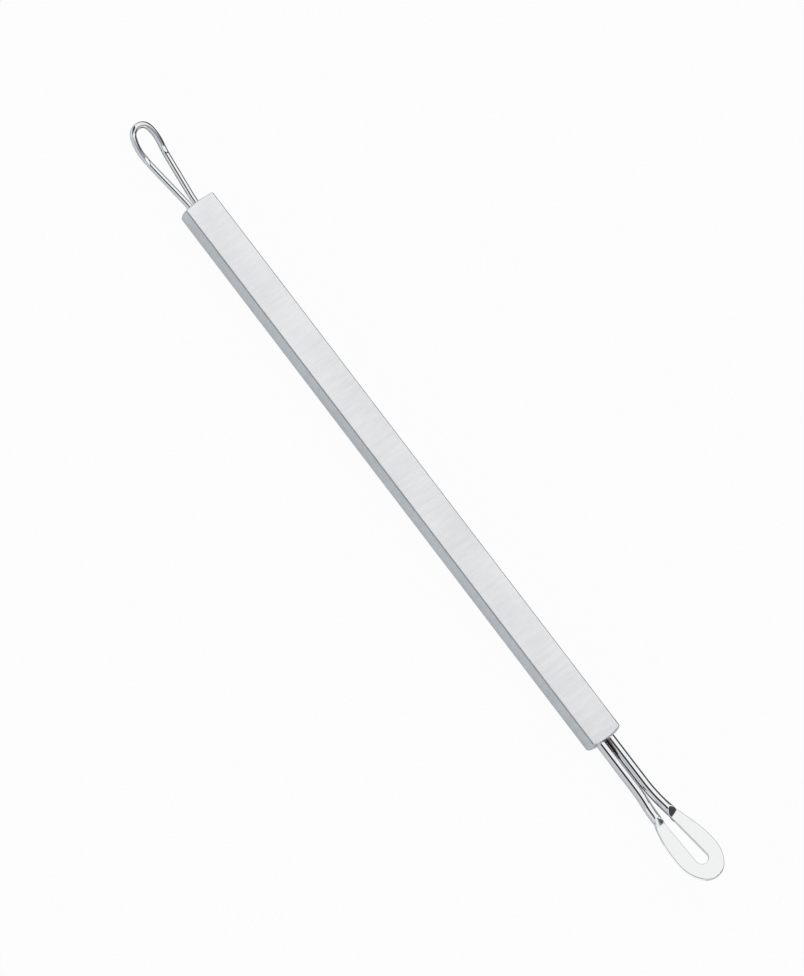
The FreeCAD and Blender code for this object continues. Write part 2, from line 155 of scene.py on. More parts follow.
def loft(rings):
    """Joins rings of equal count into a tube and closes both ends with a fan."""
    count = len(rings[0])
    points = [p for ring in rings for p in ring]
    faces = []
    for index in range(len(rings) - 1):
        base = index * count
        for k in range(count):
            following = (k + 1) % count
            faces.append((base + k, base + following, base + count + following, base + count + k))
    for base, ring in ((0, rings[0]), ((len(rings) - 1) * count, rings[-1])):
        middle = len(points)
        points.append(sum(ring, Vector()) / count)
        faces += [(base + k, base + (k + 1) % count, middle) for k in range(count)]
    return points, faces


class WirePath:
    """A wire's centre line, in a loop's own frame, sampled as straight runs and tangent arcs."""

    def __init__(self, point, heading):
        self.stations = [(point, heading)]

    def end(self):
        return self.stations[-1]

    def run(self, length):
        point, heading = self.end()
        self.stations.append((point + heading * length, heading))

    def turn(self, towards, radius, angle):
        point, heading = self.end()
        centre = point + towards * radius
        steps = max(2, math.ceil(angle / ARC_STEP))
        for step in range(1, steps + 1):
            swept = angle * step / steps
            around = heading * math.sin(swept) - towards * math.cos(swept)
            self.stations.append((centre + around * radius,
                                  heading * math.cos(swept) + towards * math.sin(swept)))

    def pitch_up(self, radius, angle):
        """Bends the wire up out of its plane, and returns where its straight runs would meet."""
        point, heading = self.end()
        lifted = Matrix.Rotation(-angle, 3, "Y") @ heading
        swept = heading.angle(lifted)
        towards = (lifted - heading * heading.dot(lifted)).normalized()
        self.turn(towards, radius, swept)
        return point + heading * (radius * math.tan(swept / 2))


def mirrored_back(stations):
    """The other half of a loop: the same stations across the Y = 0 plane, from the tip back."""
    def flip(vector):
        return Vector((vector.x, -vector.y, vector.z))
    return [(flip(centre), flip(across), flip(up), section)
            for centre, across, up, section in reversed(stations)]


def in_place(points, side, offset):
    """Moves points from a loop's own frame to its end of the handle."""
    turned = Matrix.Rotation(0 if side > 0 else math.pi, 3, "Z")
    seat = Vector((side * HALF_LENGTH, offset, AXIS_Z))
    return [turned @ p + seat for p in points]


# Handle


def rounded_square(half, radius):
    """Section of the bar as (point, outward normal) in (y, z), with close points beside each corner."""
    flat = half - radius
    inner = [flat - CORNER_SUPPORT] + [flat * share for share in FLAT_LINES]
    along = [-v for v in inner] + inner[::-1]
    section = []
    for quarter in range(4):
        turn = quarter * math.pi / 2
        out = Vector((math.cos(turn), math.sin(turn)))
        left = Vector((-out.y, out.x))
        section += [(out * half + left * v, out) for v in along]
        centre = (out + left) * flat
        for step in range(CORNER_STEPS + 1):
            angle = turn + math.pi / 2 * step / CORNER_STEPS
            normal = Vector((math.cos(angle), math.sin(angle)))
            section.append((centre + normal * radius, normal))
    return section


class HandleEnd:
    """One end of the bar. An entry is a point of the bar's section with its outward normal."""

    def __init__(self, side, crown_radius, bore_radius, bore_offset):
        self.side = side
        self.crown_radius = crown_radius
        self.bore_radius = bore_radius
        self.bore_centre = Vector((bore_offset, 0))
        self.rim_end = math.pi / 2 - math.asin(BAR / 2 / crown_radius)

    def crown_x(self, y, z):
        return HALF_LENGTH - self.crown_radius + math.sqrt(self.crown_radius ** 2 - y * y - z * z)

    def inset(self, entry, angle):
        point, normal = entry
        return point - normal * (RIM_RADIUS * (1 - math.cos(angle)))

    def rim(self, entry, angle):
        """Place on the rounded rim, at an angle from the long face."""
        start = self.crown_x(*self.inset(entry, self.rim_end)) - RIM_RADIUS * math.sin(self.rim_end)
        return (start + RIM_RADIUS * math.sin(angle), *self.inset(entry, angle))

    def on_bore(self, point, radius):
        return self.bore_centre + (point - self.bore_centre).normalized() * radius

    def dome(self, entry, fraction):
        """Place on the crown, between the rim and the mouth of the bore."""
        start = self.inset(entry, self.rim_end)
        spot = start.lerp(self.on_bore(start, self.bore_radius + MOUTH_BREAK), fraction)
        return (self.crown_x(*spot), *spot)

    def rings(self, section, bore_depth):
        """Rings from the end of the long faces over the rim and the dome, and down into the bore."""
        rows = [[self.rim(entry, self.rim_end * step / RIM_STEPS) for entry in section]
                for step in range(RIM_STEPS + 1)]
        rows += [[self.dome(entry, step / DOME_STEPS) for entry in section]
                 for step in range(1, DOME_STEPS + 1)]
        wall = [self.on_bore(point, self.bore_radius) for point, _ in section]
        rows.append([(self.crown_x(*spot) - MOUTH_BREAK, *spot) for spot in wall])
        rows.append([(HALF_LENGTH - bore_depth, *spot) for spot in wall])
        return [[Vector((self.side * x, y, AXIS_Z + z)) for x, y, z in row] for row in rows]


def make_handle(material):
    section = rounded_square(BAR / 2, EDGE_RADIUS)
    fine_bore = 2 * FINE_RADIUS + FINE_TAIL_GAP / 2 + BORE_CLEARANCE
    flat_bore = 2 * FLAT_RADIUS + FLAT_TAIL_GAP / 2 + BORE_CLEARANCE
    fine_depth = SOLDER_RECESS + FINE_TAIL_LENGTH + BORE_BOTTOM_GAP
    flat_depth = SOLDER_RECESS + FLAT_TAIL_LENGTH + BORE_BOTTOM_GAP
    fine_end = HandleEnd(-1, FINE_CROWN_RADIUS, fine_bore, FINE_OFFSET).rings(section, fine_depth)
    flat_end = HandleEnd(1, FLAT_CROWN_RADIUS, flat_bore, 0.0).rings(section, flat_depth)
    middle = []
    for step in range(1, HANDLE_STEPS):
        share = step / HANDLE_STEPS
        middle.append([a.lerp(b, share) for a, b in zip(fine_end[0], flat_end[0])])
    points, faces = loft(fine_end[::-1] + middle + flat_end)
    return make_piece("satin_bar_handle", points, faces, material, "handle")


# Fine loop


def round_section(radius, count):
    angles = [2 * math.pi * k / count for k in range(count)]
    return [(radius * math.cos(a), radius * math.sin(a)) for a in angles]


def swept_rings(stations):
    """Rings of points for stations of (centre, outward axis, up axis, section)."""
    return [[centre + across * a + up * b for a, b in section] for centre, across, up, section in stations]


def make_fine_loop(material):
    start = Vector((-SOLDER_RECESS - FINE_TAIL_LENGTH, FINE_RADIUS + FINE_TAIL_GAP / 2, 0))
    path = WirePath(start, X_DIR.copy())
    path.run(FINE_TAIL_LENGTH)
    path.turn(Y_DIR, FINE_SPREAD_RADIUS, FINE_SPREAD)
    path.run(FINE_LEG_RUN)
    path.pitch_up(FINE_BEND_RADIUS, FINE_BEND)
    ahead = Vector((math.cos(FINE_BEND), 0, math.sin(FINE_BEND)))
    path.turn(ahead * math.sin(FINE_SPREAD) - Y_DIR * math.cos(FINE_SPREAD), FINE_SIDE_RADIUS, FINE_SPREAD)
    path.turn(-Y_DIR, FINE_SHOULDER_RADIUS, FINE_SHOULDER)
    tip_radius = path.end()[0].y / math.cos(FINE_SHOULDER)
    inwards = -(ahead * math.sin(FINE_SHOULDER) + Y_DIR * math.cos(FINE_SHOULDER))
    path.turn(inwards, tip_radius, math.pi / 2 - FINE_SHOULDER)

    section = round_section(FINE_RADIUS, WIRE_POINTS)
    half = []
    for point, heading in path.stations:
        across = Z_DIR.cross(heading).normalized()
        half.append((point, across, heading.cross(across), section))
    rings = swept_rings(half + mirrored_back(half)[1:])
    points, faces = loft([in_place(ring, -1, FINE_OFFSET) for ring in rings])
    return make_piece("fine_wire_loop", points, faces, material, "fine_loop")


# Pressed loop


SIDE_HALF_ANGLE = math.asin(RING_THICKNESS / 2 / FLAT_RADIUS)
WALL_SHARE = 0.2      # of a side's points that lie on the ring's straight rim


def section_angles(top_corner):
    """Angles round the section, counter-clockwise from the low outward corner, and their places from
    -1 to 1 over each side or face."""
    spans = ((-SIDE_HALF_ANGLE, top_corner, SIDE_STEPS),
             (top_corner, math.pi - top_corner, TOP_STEPS),
             (math.pi - top_corner, math.pi + SIDE_HALF_ANGLE, SIDE_STEPS),
             (math.pi + SIDE_HALF_ANGLE, 2 * math.pi - SIDE_HALF_ANGLE, TOP_STEPS))
    entries = []
    for index, (first, last, steps) in enumerate(spans):
        for step in range(steps):
            share = step / steps
            entries.append((index, 2 * share - 1, first + (last - first) * share))
    return entries


def wire_section(half_width, top, bottom):
    """The round wire, with its top and bottom pressed to a height. The edge of the pressed top keeps
    its place among the points once it has come down the side."""
    corner = min(SIDE_HALF_ANGLE, math.asin(max(-1.0, min(1.0, top / FLAT_RADIUS))))
    section = []
    for _, _, angle in section_angles(corner):
        height = FLAT_RADIUS * math.sin(angle)
        section.append((half_width * math.cos(angle), max(bottom, min(top, height))))
    return section


def plate_section(half_width, top, bottom):
    """Flat faces between rounded rims, with the points in the same order as the wire's."""
    half = (top - bottom) / 2
    middle = (top + bottom) / 2
    radius = RING_EDGE_RADIUS
    section = []
    for index, place, angle in section_angles(SIDE_HALF_ANGLE):
        if index % 2:
            height = half if index == 1 else -half
            across = (half_width - radius) * math.cos(angle) / math.cos(SIDE_HALF_ANGLE)
            section.append((across, middle + height))
            continue
        side, rise = (1, place) if index == 0 else (-1, -place)
        if abs(rise) <= WALL_SHARE:
            section.append((side * half_width, middle + (half - radius) * rise / WALL_SHARE))
            continue
        turned = (abs(rise) - WALL_SHARE) / (1 - WALL_SHARE) * math.pi / 2
        height = math.copysign(half - radius + radius * math.sin(turned), rise)
        section.append((side * (half_width - radius + radius * math.cos(turned)), middle + height))
    return section


def blend_sections(first, second, share):
    return [(a + (c - a) * share, b + (d - b) * share) for (a, b), (c, d) in zip(first, second)]


def smooth(share):
    share = max(0.0, min(1.0, share))
    return share * share * (3 - 2 * share)


STEEPEST_RAMP = math.pi / 2 - 0.01
HALVINGS = 40
OUTLINE_SLACK = 1e-9


def ramp_slope(length, fall):
    """Slope of the straight part between the ramp's rounded shoulder and its foot."""
    low, high = 0.0, STEEPEST_RAMP
    for _ in range(HALVINGS):
        slope = (low + high) / 2
        both = RAMP_SHOULDER_RADIUS + RAMP_FOOT_RADIUS
        straight_fall = fall - both * (1 - math.cos(slope))
        if both * math.sin(slope) + straight_fall / math.tan(slope) > length:
            low = slope
        else:
            high = slope
    return slope


def ramp_profile(length, fall):
    """Places along the ramp and how far its top has come down there."""
    slope = ramp_slope(length, fall)

    def shoulder(angle):
        return RAMP_SHOULDER_RADIUS * math.sin(angle), RAMP_SHOULDER_RADIUS * (1 - math.cos(angle))

    def foot(angle):
        return length - RAMP_FOOT_RADIUS * math.sin(angle), fall - RAMP_FOOT_RADIUS * (1 - math.cos(angle))

    entries = [shoulder(slope * step / RAMP_ARC_STEPS) for step in range(1, RAMP_ARC_STEPS + 1)]
    first, last = entries[-1], foot(slope)
    for step in range(1, RAMP_STRAIGHT_STEPS + 1):
        share = step / RAMP_STRAIGHT_STEPS
        entries.append((first[0] + (last[0] - first[0]) * share, first[1] + (last[1] - first[1]) * share))
    entries += [foot(slope * (1 - step / RAMP_ARC_STEPS)) for step in range(1, RAMP_ARC_STEPS + 1)]
    return entries


class RingOutline:
    """The ring in the plane of the bent head: p runs ahead from the bend, q to the side."""

    def __init__(self, ramp_start, leg_at_start):
        self.root = ramp_start + RAMP_LENGTH * math.cos(FLAT_SPREAD) - RING_ROOT_LAP
        leg = leg_at_start + (self.root - ramp_start) * math.tan(FLAT_SPREAD)
        self.inner_root = leg - RING_ROOT_WIDTH / 2
        outer = leg + RING_ROOT_WIDTH / 2
        self.widest = self.root + RING_SIDE_RADIUS * math.sin(RING_SIDE)
        half_width = outer + RING_SIDE_RADIUS * (1 - math.cos(RING_SIDE))
        shoulder_end = half_width - RING_SHOULDER_RADIUS * (1 - math.cos(RING_SHOULDER))
        self.tip_radius = shoulder_end / math.cos(RING_SHOULDER)
        self.tip_start = self.widest + RING_SHOULDER_RADIUS * math.sin(RING_SHOULDER)
        self.tip_centre = self.tip_start - self.tip_radius * math.sin(RING_SHOULDER)
        self.arcs = ((self.widest, half_width - RING_SIDE_RADIUS, RING_SIDE_RADIUS, -1.0, self.widest),
                     (self.widest, half_width - RING_SHOULDER_RADIUS, RING_SHOULDER_RADIUS,
                      self.widest, self.tip_start),
                     (self.tip_centre, 0.0, self.tip_radius, self.tip_start, 1.0))
        self.slot_centre = self.tip_centre + self.tip_radius - RING_TIP_WIDTH - SLOT_RADIUS
        reach = math.hypot(self.slot_centre - self.root, self.inner_root)
        lean = math.atan2(self.inner_root, self.slot_centre - self.root)
        self.slot_side = math.asin(SLOT_RADIUS / reach) - lean

    def inner(self, p):
        """Side of the slot before its round end."""
        return self.inner_root + (p - self.root) * math.tan(self.slot_side)

    def outer_hit(self, p, angle):
        """Distance from (p, 0) to the outline, at an angle from straight ahead."""
        along, side = math.cos(angle), math.sin(angle)
        for centre_p, centre_q, radius, low, high in self.arcs:
            dp, dq = p - centre_p, -centre_q
            b = dp * along + dq * side
            root = b * b - (dp * dp + dq * dq - radius * radius)
            if root < 0:
                continue
            distance = -b + math.sqrt(root)
            if low - OUTLINE_SLACK <= p + along * distance <= high + OUTLINE_SLACK:
                return distance
        raise ValueError("the outline isn't reached")


class PressedHead:
    """Places in the pressed loop's bent head, in the loop's own frame."""

    def __init__(self, corner, leg_end):
        self.ahead = Vector((math.cos(FLAT_BEND), 0, math.sin(FLAT_BEND)))
        self.up = Vector((-math.sin(FLAT_BEND), 0, math.cos(FLAT_BEND)))
        self.origin = Vector((corner.x, 0, 0))
        self.ramp_start = self.along(leg_end)
        self.ramp_end = self.ramp_start + RAMP_LENGTH * math.cos(FLAT_SPREAD)
        self.leg_side = leg_end.y
        self.outline = RingOutline(self.ramp_start, leg_end.y)

    def along(self, spot):
        return (spot - self.origin).dot(self.ahead)

    def spot(self, p, q):
        return self.origin + self.ahead * p + Y_DIR * q

    def ring_station(self, p, angle):
        """The ring's middle, direction and half width on the line from (p, 0) at an angle from ahead."""
        direction = self.ahead * math.cos(angle) + Y_DIR * math.sin(angle)
        outer = self.outline.outer_hit(p, angle)
        inner = SLOT_RADIUS if angle < math.pi / 2 else self.outline.inner(p)
        return self.spot(p, 0) + direction * ((outer + inner) / 2), direction, (outer - inner) / 2

    def follow_press_edge(self, spot):
        """Moves a point along the head so that the ramps end on the arc of the press's edge."""
        p = self.along(spot)
        outside = max(self.ramp_start - p, p - self.ramp_end, 0.0) / PRESS_EDGE_REACH
        bow = ((spot.y - PRESS_EDGE_MIDDLE) ** 2 - PRESS_EDGE_SIDE ** 2) / (2 * PRESS_EDGE_RADIUS)
        return spot - self.ahead * (bow * (1 - smooth(outside)))


RING_TOP = RING_THICKNESS / 2 - RING_DROP
RING_BOTTOM = -RING_THICKNESS / 2 - RING_DROP
WIDEN_FROM = 0.4      # share of the ramp at which the wire starts to widen
SQUARE_FROM = 0.5     # share of the ramp at which its sides start to turn into the ring's rims


def ramp_stations(head, last_across):
    """Sections from the round leg down the ramp to the flat ring."""
    length = head.ramp_end - head.ramp_start
    stations = []
    for along, fall in ramp_profile(length, FLAT_RADIUS - RING_TOP):
        share = along / length
        p = head.ramp_start + along
        leg = head.spot(p, head.leg_side + along * math.tan(FLAT_SPREAD))
        ring_middle, _, ring_half = head.ring_station(max(p, head.outline.root), math.pi / 2)
        widening = smooth((share - WIDEN_FROM) / (1 - WIDEN_FROM))
        leg.y += (ring_middle.y - leg.y) * widening
        half_width = FLAT_RADIUS + (ring_half - FLAT_RADIUS) * widening
        top = FLAT_RADIUS - fall
        bottom = -FLAT_RADIUS + (FLAT_RADIUS + RING_BOTTOM) * share
        across = last_across.lerp(Y_DIR, smooth(share)).normalized()
        section = blend_sections(wire_section(half_width, top, bottom),
                                 plate_section(half_width, top, bottom),
                                 smooth((share - SQUARE_FROM) / (1 - SQUARE_FROM)))
        stations.append((leg, across, head.up, section))
    return stations


def ring_stations(head):
    """Sections of one half of the ring, along its side and round its tip."""
    places = []
    slot_end = head.outline.slot_centre
    for step in range(1, RING_SIDE_STEPS + 1):
        p = head.ramp_end + (slot_end - head.ramp_end) * step / RING_SIDE_STEPS
        places.append((p, math.pi / 2))
    for step in range(1, RING_TIP_STEPS + 1):
        places.append((slot_end, math.pi / 2 * (1 - step / RING_TIP_STEPS)))
    stations = []
    for p, angle in places:
        middle, direction, half_width = head.ring_station(p, angle)
        stations.append((middle, direction, head.up, plate_section(half_width, RING_TOP, RING_BOTTOM)))
    return stations


def make_flat_loop(material):
    start = Vector((-SOLDER_RECESS - FLAT_TAIL_LENGTH, FLAT_RADIUS + FLAT_TAIL_GAP / 2, 0))
    path = WirePath(start, X_DIR.copy())
    path.run(FLAT_TAIL_LENGTH + FLAT_STRAIGHT_RUN)
    path.turn(Y_DIR, FLAT_SPREAD_RADIUS, FLAT_SPREAD)
    path.run(FLAT_NECK_RUN)
    corner = path.pitch_up(FLAT_BEND_RADIUS, FLAT_BEND)
    path.run(FLAT_HEAD_RUN)
    head = PressedHead(corner, path.end()[0])

    round_wire = wire_section(FLAT_RADIUS, FLAT_RADIUS, -FLAT_RADIUS)
    half = []
    for point, heading in path.stations:
        across = Z_DIR.cross(heading).normalized()
        half.append((point, across, heading.cross(across), round_wire))
    half += ramp_stations(head, half[-1][1])
    half += ring_stations(head)

    rings = swept_rings(half + mirrored_back(half)[1:])
    rings = [[head.follow_press_edge(spot) for spot in ring] for ring in rings]
    points, faces = loft([in_place(ring, 1, 0.0) for ring in rings])
    return make_piece("pressed_wire_loop", points, faces, material, "flat_loop")


# Shader node helpers


def new_material(name):
    material = bpy.data.materials.new(name)
    material.use_nodes = True
    tree = material.node_tree
    return material, tree, tree.nodes["Principled BSDF"]


def add_node(tree, kind, values=(), links=()):
    """Adds a node, sets its sockets by name and links outputs of other nodes to them."""
    node = tree.nodes.new(kind)
    for key, value in values:
        node.inputs[key].default_value = value
    for key, output in links:
        tree.links.new(output, node.inputs[key])
    return node


def math_node(tree, operation, first, second=None, clamp=False):
    """A Math node; each side is a number or another node's output."""
    node = tree.nodes.new("ShaderNodeMath")
    node.operation = operation
    node.use_clamp = clamp
    for index, value in enumerate((first, second)):
        if value is None:
            continue
        if isinstance(value, (int, float)):
            node.inputs[index].default_value = value
        else:
            tree.links.new(value, node.inputs[index])
    return node.outputs[0]


def edge_mask(tree, value, edge, softness):
    """0 below the edge, 1 above it, over a soft step."""
    return math_node(tree, "DIVIDE", math_node(tree, "SUBTRACT", value, edge - softness / 2), softness, True)


def inverse(tree, mask):
    return math_node(tree, "SUBTRACT", 1.0, mask)


def between(tree, value, low, high, softness):
    """1 from low to high, 0 outside, with soft steps."""
    above = edge_mask(tree, value, low, softness)
    return math_node(tree, "MULTIPLY", above, inverse(tree, edge_mask(tree, value, high, softness)))


def mix_colours(tree, factor, first, second):
    """Mixes two colours; each is a tuple or another node's output."""
    node = tree.nodes.new("ShaderNodeMix")
    node.data_type = "RGBA"
    sides = [socket for socket in node.inputs if socket.type == "RGBA"]
    for socket, colour in zip(sides, (first, second)):
        if isinstance(colour, tuple):
            socket.default_value = (*colour, 1)
        else:
            tree.links.new(colour, socket)
    tree.links.new(factor, node.inputs["Factor"])
    return next(o for o in node.outputs if o.type == "RGBA")


def stretched_noise(tree, period, detail):
    """Noise whose features are about period (x, y, z) in size."""
    place = add_node(tree, "ShaderNodeTexCoord")
    scale = add_node(tree, "ShaderNodeMapping", [("Scale", [1 / v for v in period])],
                     [("Vector", place.outputs["Object"])])
    noise = add_node(tree, "ShaderNodeTexNoise", [("Scale", 1.0), ("Detail", detail)],
                     [("Vector", scale.outputs["Vector"])])
    return noise.outputs["Fac"]


NOISE_RANGE = (0.3, 0.7)      # most of what a single noise gives


def remap(tree, value, source, target):
    """Takes a value from its source range to the target range, and stays within it."""
    node = add_node(tree, "ShaderNodeMapRange", [
        ("From Min", source[0]), ("From Max", source[1]), ("To Min", target[0]), ("To Max", target[1])],
        [("Value", value)])
    return node.outputs["Result"]


def coordinates(tree, output):
    """x, y and z of one of the texture coordinates, as outputs."""
    place = add_node(tree, "ShaderNodeTexCoord")
    parts = add_node(tree, "ShaderNodeSeparateXYZ", links=[("Vector", place.outputs[output])])
    return [parts.outputs[name] for name in "XYZ"]


def add_bump(tree, shader, height, depth):
    bump = add_node(tree, "ShaderNodeBump", [("Strength", 1.0), ("Distance", depth)], [("Height", height)])
    tree.links.new(bump.outputs["Normal"], shader.inputs["Normal"])


# Satin bar
GRIND_PERIOD = (0.14 * MM, 2.4 * MM, 2.4 * MM)
BROAD_PERIOD = (0.7 * MM, 6.0 * MM, 6.0 * MM)
CLOUD_PERIOD = (9 * MM, 5 * MM, 5 * MM)
GRIND_DEPTH = 0.0012 * MM
SATIN_ANISOTROPY = 0.6
SATIN_ROUGHNESS = (0.27, 0.37)
SATIN_DARK = (0.82, 0.825, 0.845)
SATIN_LIGHT = (0.94, 0.945, 0.965)
LINES_RANGE = (0.6, 1.4)        # of two noises added up
CLOUDY_RANGE = (1.1, 1.9)       # of three
EDGE_POLISH = 0.65              # share of the bar's roughness that its long edges have lost
EDGE_SOFTNESS = 0.03 * MM
# Painted reflection: a dark line painted along the bar's long edges, standing in for the dark band they
# reflect
PAINTED_EDGE_LINE_COLOUR = (0.27, 0.27, 0.28)
PAINTED_EDGE_LINE_SHARE = 0.3                # of the edge radius, from each side of the bar inwards
FAR_PAINTED_EDGE_LINE_SHARE = 0.72           # the same on the +Y side, where it is wider
PAINTED_EDGE_LINE_SOFTNESS = 0.01 * MM


def bar_edge_masks(tree):
    """Where the bar's long edges are rounded, and where a dark line is painted on these edges as a painted
    reflection.
    """
    _, y, z = coordinates(tree, "Object")
    side = math_node(tree, "ABSOLUTE", y)
    height = math_node(tree, "ABSOLUTE", math_node(tree, "SUBTRACT", z, AXIS_Z))
    flat = BAR / 2 - EDGE_RADIUS
    on_edge = math_node(tree, "MULTIPLY", edge_mask(tree, side, flat, EDGE_SOFTNESS),
                        edge_mask(tree, height, flat, EDGE_SOFTNESS))
    painted_edge_line = math_node(tree, "MAXIMUM",
                     edge_mask(tree, side, BAR / 2 - EDGE_RADIUS * PAINTED_EDGE_LINE_SHARE, PAINTED_EDGE_LINE_SOFTNESS),
                     edge_mask(tree, y, BAR / 2 - EDGE_RADIUS * FAR_PAINTED_EDGE_LINE_SHARE, PAINTED_EDGE_LINE_SOFTNESS))
    return on_edge, math_node(tree, "MULTIPLY", on_edge, painted_edge_line)


def satin_material():
    """Bar ground across its length: fine lines run round it, and its highlight spreads along it."""
    material, tree, shader = new_material("satin_bar")
    shader.inputs["Metallic"].default_value = 1.0
    shader.inputs["Anisotropic"].default_value = SATIN_ANISOTROPY
    fine = stretched_noise(tree, GRIND_PERIOD, 2.0)
    broad = stretched_noise(tree, BROAD_PERIOD, 2.0)
    cloud = stretched_noise(tree, CLOUD_PERIOD, 1.0)
    lines = math_node(tree, "ADD", fine, broad)
    total = math_node(tree, "ADD", lines, cloud)
    on_edge, painted_edge_line = bar_edge_masks(tree)
    polish = inverse(tree, math_node(tree, "MULTIPLY", on_edge, EDGE_POLISH))
    rough = remap(tree, lines, LINES_RANGE, SATIN_ROUGHNESS)
    tree.links.new(math_node(tree, "MULTIPLY", rough, polish), shader.inputs["Roughness"])
    ground = mix_colours(tree, remap(tree, total, CLOUDY_RANGE, (0.0, 1.0)), SATIN_DARK, SATIN_LIGHT)
    # the painted reflection: a dark line along the long edges
    tree.links.new(mix_colours(tree, painted_edge_line, ground, PAINTED_EDGE_LINE_COLOUR), shader.inputs["Base Color"])
    add_bump(tree, shader, lines, GRIND_DEPTH)
    along = add_node(tree, "ShaderNodeCombineXYZ", [("X", 1.0)])
    tree.links.new(along.outputs["Vector"], shader.inputs["Tangent"])
    return material


# Painted shade: a dark patch on the wires in the crease between the legs of the pressed loop, beside the
# handle
CREASE_SHADE_FROM_X = 44.0 * MM
CREASE_SHADE_TAPER_X = 46.0 * MM
CREASE_SHADE_TAPER = 0.2
CREASE_SHADE_HALF_WIDTH = 0.36 * MM
CREASE_SHADE_SOFTNESS = 0.1 * MM
CREASE_SHADE_PERIOD = (0.5 * MM, 0.3 * MM, 0.3 * MM)
CREASE_SHADE_RAGGED = 0.05 * MM
CREASE_SHADE_ROUGHNESS = 0.4
# the colour of the painted shade in the crease
CREASE_SHADE_COLOUR = (0.22, 0.18, 0.165)


# Where the painted shade lies: between the pressed loop's legs from beside the handle, narrowing ahead, with
# ragged sides
def crease_shade_mask(tree):
    x, y, _ = coordinates(tree, "Object")
    patches = stretched_noise(tree, CREASE_SHADE_PERIOD, 2.0)
    beyond = math_node(tree, "MAXIMUM", math_node(tree, "SUBTRACT", x, CREASE_SHADE_TAPER_X), 0.0)
    width = math_node(tree, "ADD", math_node(tree, "ABSOLUTE", y),
                      math_node(tree, "MULTIPLY", beyond, CREASE_SHADE_TAPER))
    width = math_node(tree, "ADD", width,
                      remap(tree, patches, NOISE_RANGE, (-CREASE_SHADE_RAGGED, CREASE_SHADE_RAGGED)))
    inside = inverse(tree, edge_mask(tree, width, CREASE_SHADE_HALF_WIDTH, CREASE_SHADE_SOFTNESS))
    return math_node(tree, "MULTIPLY", inside, edge_mask(tree, x, CREASE_SHADE_FROM_X, CREASE_SHADE_SOFTNESS))


# Polished wire
UNEVEN_PERIOD = (1.6 * MM, 0.8 * MM, 0.8 * MM)
UNEVEN_DEPTH = 0.002 * MM
DRAWN_PERIOD = (3.0 * MM, 0.08 * MM, 0.08 * MM)
WIRE_ROUGHNESS = (0.035, 0.07)
WIRE_DARK = (0.84, 0.845, 0.85)
WIRE_LIGHT = (0.90, 0.905, 0.91)


def wire_material():
    """Polished wire with faint drawing lines, a little unevenness, and painted shade in the crease between
    the pressed loop's legs.
    """
    material, tree, shader = new_material("polished_wire")
    shader.inputs["Metallic"].default_value = 1.0
    uneven = stretched_noise(tree, UNEVEN_PERIOD, 2.0)
    lines = stretched_noise(tree, DRAWN_PERIOD, 1.0)
    # painted shade in the crease between the pressed loop's legs, darker and duller there
    crease_shade = crease_shade_mask(tree)
    rough = remap(tree, uneven, NOISE_RANGE, WIRE_ROUGHNESS)
    tree.links.new(math_node(tree, "ADD", rough, math_node(tree, "MULTIPLY", crease_shade, CREASE_SHADE_ROUGHNESS)),
                   shader.inputs["Roughness"])
    clean = mix_colours(tree, lines, WIRE_DARK, WIRE_LIGHT)
    tree.links.new(mix_colours(tree, crease_shade, clean, CREASE_SHADE_COLOUR), shader.inputs["Base Color"])
    add_bump(tree, shader, uneven, UNEVEN_DEPTH)
    return material


# Solder
GRAIN_PERIOD = (0.12 * MM, 0.12 * MM, 0.12 * MM)
GRAIN_DEPTH = 0.01 * MM
FLUX_PERIOD = (0.6 * MM, 0.5 * MM, 0.5 * MM)
FLUX_RANGE = (0.35, 0.65)
SOLDER_ROUGHNESS = (0.35, 0.55)
SOLDER_DARK = (0.40, 0.39, 0.37)
SOLDER_LIGHT = (0.62, 0.62, 0.60)


def solder_material():
    """Dull solder with a fine grain and darker flux stains."""
    material, tree, shader = new_material("silver_solder")
    shader.inputs["Metallic"].default_value = 1.0
    grain = stretched_noise(tree, GRAIN_PERIOD, 3.0)
    stains = stretched_noise(tree, FLUX_PERIOD, 2.0)
    tree.links.new(remap(tree, grain, NOISE_RANGE, SOLDER_ROUGHNESS), shader.inputs["Roughness"])
    share = remap(tree, stains, FLUX_RANGE, (0.0, 1.0))
    tree.links.new(mix_colours(tree, share, SOLDER_DARK, SOLDER_LIGHT), shader.inputs["Base Color"])
    add_bump(tree, shader, grain, GRAIN_DEPTH)
    return material


# The sky over the tool. x is a direction's share along the bar, and its roll round the bar goes in
# degrees from straight up towards +Y. Each white panel has its range of x, of roll, and its softness in x.
WHITE_PANELS = (
    ((-2.0, 0.06), (-1, 70), 0.03),          # softbox
    ((0.13, 0.42), (-30, 70), 0.03),         # strip, beyond the dark slit
    ((0.38, 0.505), (-12, 32), 0.02),        # head strip
    ((-2.0, -0.24), (-95, -64), 0.03),       # low panel, on the -Y side
    ((0.537, 0.563), (-6, 1.5), 0.008),      # window
)
PANEL_ROLL_SOFTNESS = 3
BAND_X = (0.49, 0.70)                        # head band, white, which lies aslant
BAND_SLANT = 250                             # degrees of roll for each unit of x
BAND_ROLL = (-130.5, -117)                   # what is left of the roll after the slant
END_REFLECTOR_X = 0.86
HORIZON_Z = 0.08
HORIZON_SOFTNESS = 0.05
DIM_X = (0.42, 0.75)
DIM_ROLL = (-60, 16)
FACET_DARK_X = (0.562, 0.60)
FACET_DARK_ROLL = (0, 13)
GREY_SIDE_ROLL = -38
DARK_END_X = 0.42
X_SOFTNESS = 0.03
FACET_X_SOFTNESS = 0.01
ROLL_SOFTNESS = 4
FACET_ROLL_SOFTNESS = 2
WHITE = (1.0, 1.0, 1.0)
GREY_SIDE = (0.62, 0.65, 0.68)
DIM = (0.30, 0.33, 0.38)
DARK = (0.030, 0.031, 0.034)
